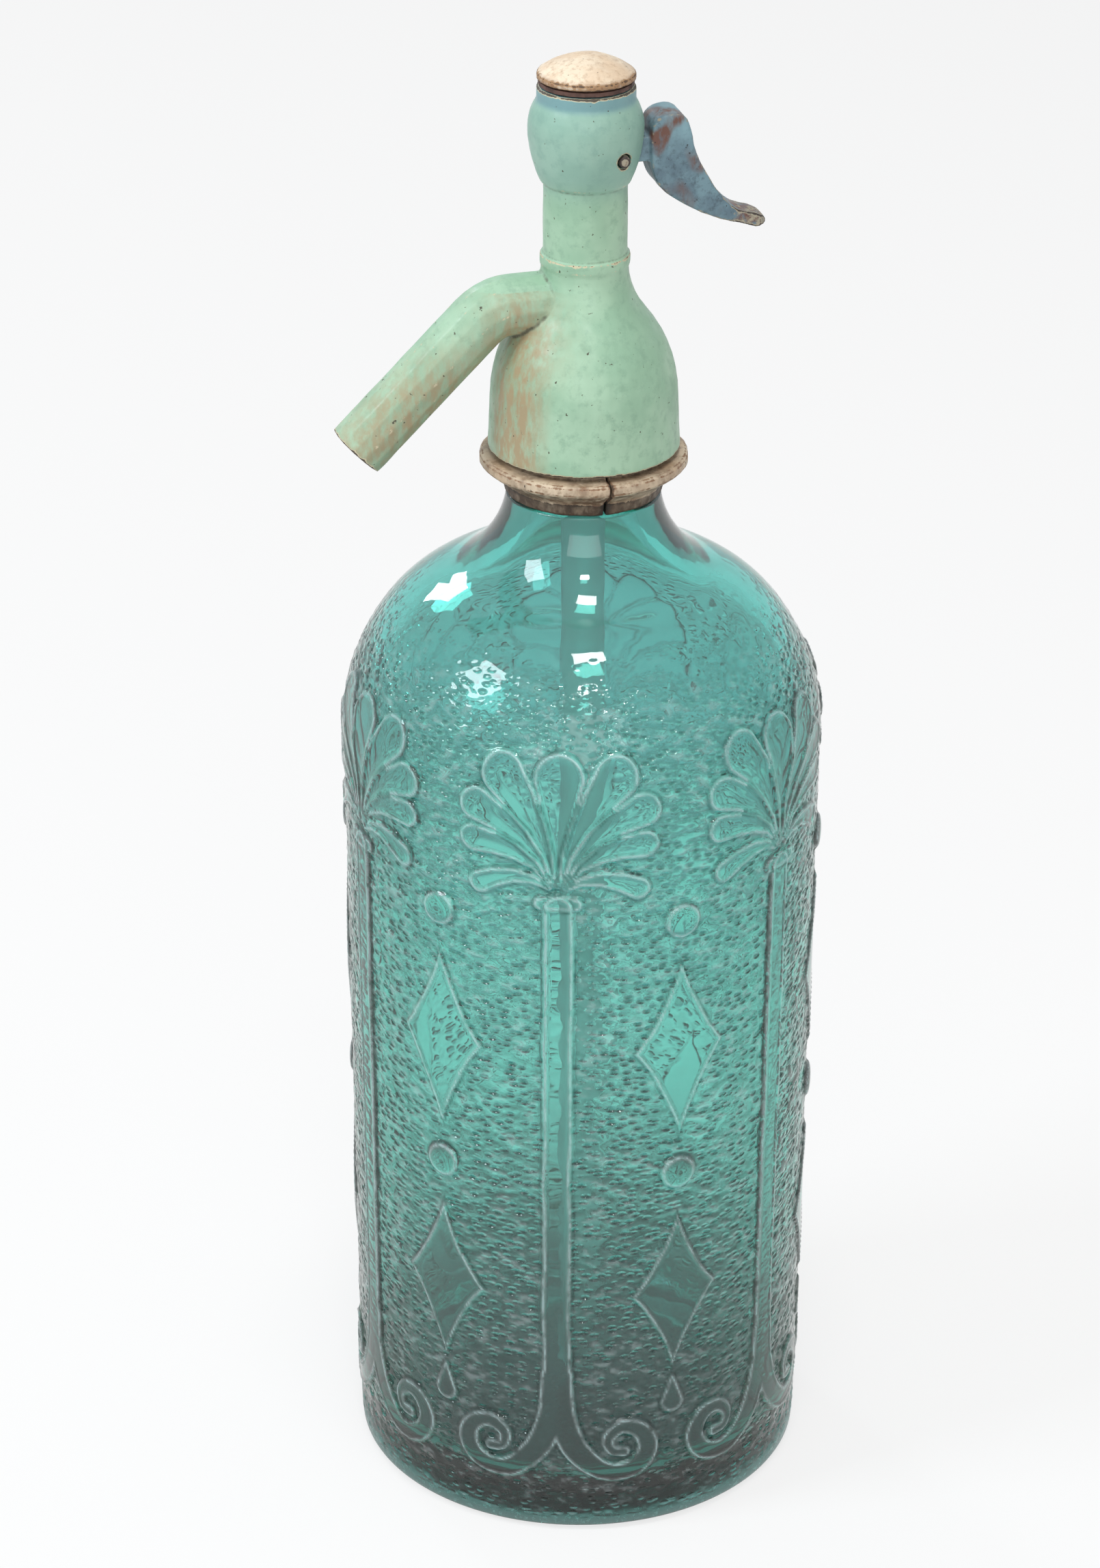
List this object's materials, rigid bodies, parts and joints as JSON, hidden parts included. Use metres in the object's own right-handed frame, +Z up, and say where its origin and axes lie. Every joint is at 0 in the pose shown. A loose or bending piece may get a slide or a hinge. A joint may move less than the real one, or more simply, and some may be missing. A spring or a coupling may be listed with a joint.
{
  "type": "soda siphon",
  "caption": "Pressure glass siphon bottle with a split neck collar, a cast head with a bent spout, a dip tube, and a spring valve lifted by a thumb lever.",
  "frame": {"origin": "middle of the bottle's standing ring, on the surface that it stands on", "axes": "+Z up along the bottle's axis, -X towards the spout, +X towards the lever"},
  "size_m": [0.1019, 0.1006, 0.3144],
  "materials": {
    "bottle_glass": "thick teal pressed glass with moulded relief",
    "tube_glass": "clear drawn glass tube",
    "painted_casting": "worn mint green paint over a tin alloy casting",
    "cap_paint": "worn cream paint, chipped to brown",
    "collar_metal": "aged cream paint with dark cracks",
    "lever_metal": "blue grey patina with rust brown patches",
    "tin": "dull tin alloy",
    "brass": "turned, dulled",
    "spring_steel": "drawn wire",
    "red_rubber": "aged red rubber",
    "grey_rubber": "aged dark rubber",
    "leather": "greased cup leather"
  },
  "bodies": {
    "root": {"glass_bottle": "bottle_glass", "neck_gasket": "red_rubber", "collar_half_spout_side": "collar_metal", "collar_half_lever_side": "collar_metal", "head_body": "painted_casting", "top_cap": "cap_paint", "cap_washer": "red_rubber", "gland_nut": "brass", "tube_ferrule": "tin", "tube_sleeve": "grey_rubber", "dip_tube": "tube_glass", "seat_gasket": "red_rubber", "valve_seat": "brass", "valve_spring": "spring_steel", "lever_pin": "tin"},
    "lever": {"lever": "lever_metal"},
    "spindle": {"valve_spindle": "brass", "valve_holder": "brass", "valve_rubber": "grey_rubber", "valve_screw": "brass", "packing_nut": "brass", "packing_washer": "brass", "packing_leather": "leather"}
  },
  "joints": [
    {"name": "lever_pivot", "type": "hinge", "parent": "root", "child": "lever", "pos_m": [0.0052, 0, 0.2951], "axis": [0, 1, 0], "range_deg": [0, 18], "stiffness_Nm_per_rad": 0.28, "springref_deg": -38.39},
    {"name": "spindle_lift", "type": "slide", "parent": "root", "child": "spindle", "axis": [0, 0, 1], "range_m": [0, 0.0016], "deforming": ["valve_spring"]}
  ],
  "couplings": [
    {"joint": "spindle_lift", "follows": "lever_pivot", "m_per_rad": 0.0047}
  ]
}
